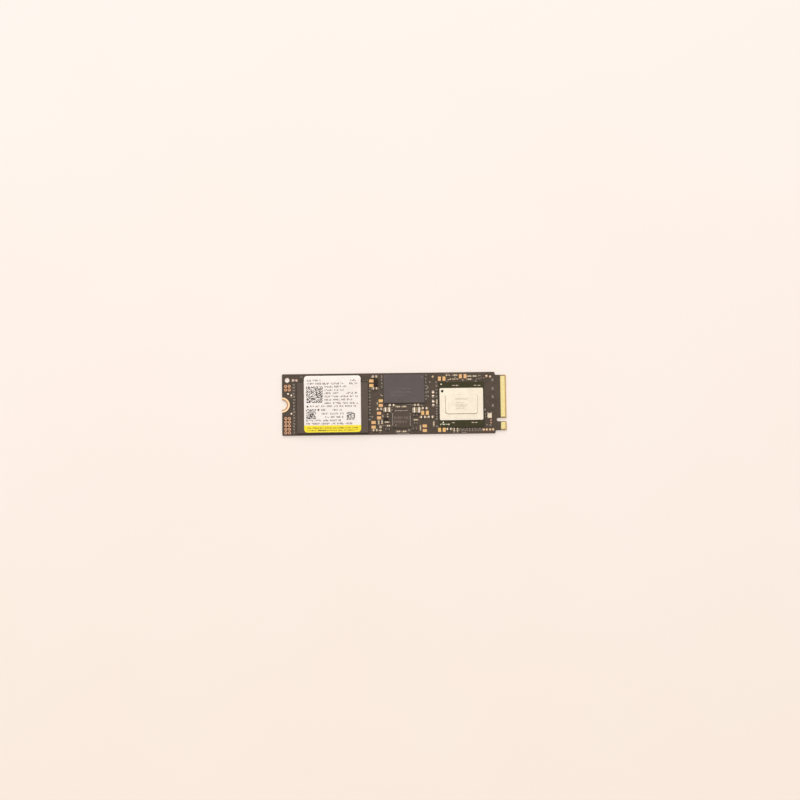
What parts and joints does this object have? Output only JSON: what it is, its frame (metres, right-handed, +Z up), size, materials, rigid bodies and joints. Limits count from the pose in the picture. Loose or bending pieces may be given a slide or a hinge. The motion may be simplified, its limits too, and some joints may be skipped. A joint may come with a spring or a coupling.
{
  "type": "solid state drive card",
  "caption": "Slim solid state drive on a bare black card with gold edge contacts, flash packages under a white label, a memory package and a metal-lidded controller.",
  "frame": {"origin": "centre of the card's outline on its underside", "axes": "+X along the card towards its gold edge contacts, +Y across the card away from the key slot, +Z up through the populated face"},
  "size_m": [0.08, 0.022, 0.0021],
  "materials": {
    "board_coating": "satin black solder coating",
    "edge_gold": "hard gold plate, pale",
    "land_gold": "soft gold plate, satin",
    "moulding": "fine-grained moulding compound",
    "solder": "reflowed solder, bright",
    "end_metal": "tin plate under solder",
    "carrier_laminate": "dark green coating",
    "silicon": "ground back of a die",
    "paste": "grey paste",
    "lid_nickel": "satin nickel plate",
    "capacitor_ceramic": "fired ceramic",
    "inductor_ferrite": "pressed ferrite",
    "resistor_glaze": "black glaze",
    "lamp_base": "white laminate",
    "lamp_lens": "clear resin",
    "crystal_ceramic": "fired ceramic",
    "crystal_metal": "seam-welded cap",
    "label_paper": "coated label stock",
    "label_yellow": "printed field"
  },
  "bodies": {
    "root": {"circuit_board": "board_coating", "upper_contacts": "edge_gold", "lower_contacts": "edge_gold", "ground_ring": "land_gold", "header_eyelets": "land_gold", "test_pads": "land_gold", "spare_lands": "land_gold", "controller_marks": "land_gold", "left_flash_package": "moulding", "right_flash_package": "moulding", "memory_package": "moulding", "power_chip": "moulding", "left_flash_balls": "solder", "right_flash_balls": "solder", "memory_balls": "solder", "controller_balls": "solder", "power_chip_leads": "solder", "load_switch_leads": "solder", "controller_capacitor_ends": "end_metal", "small_inductor_ends": "end_metal", "large_inductor_ends": "end_metal", "large_capacitor_ends": "end_metal", "small_capacitor_ends": "end_metal", "large_resistor_ends": "end_metal", "small_resistor_ends": "end_metal", "tiny_resistor_ends": "end_metal", "tiny_capacitor_ends": "end_metal", "status_lamp_ends": "end_metal", "crystal_ends": "end_metal", "controller_carrier": "carrier_laminate", "controller_die": "silicon", "controller_paste": "paste", "controller_lid": "lid_nickel", "controller_capacitor_bodies": "capacitor_ceramic", "large_capacitor_bodies": "capacitor_ceramic", "small_capacitor_bodies": "capacitor_ceramic", "tiny_capacitor_bodies": "capacitor_ceramic", "small_inductor": "inductor_ferrite", "large_inductor": "inductor_ferrite", "large_resistor_bodies": "resistor_glaze", "small_resistor_bodies": "resistor_glaze", "tiny_resistor_bodies": "resistor_glaze", "load_switch": "resistor_glaze", "clamp_diode": "resistor_glaze", "status_lamp_base": "lamp_base", "status_lamp_lens": "lamp_lens", "crystal_base": "crystal_ceramic", "crystal_cap": "crystal_metal", "label": "label_paper", "label_band": "label_yellow"}
  },
  "joints": []
}
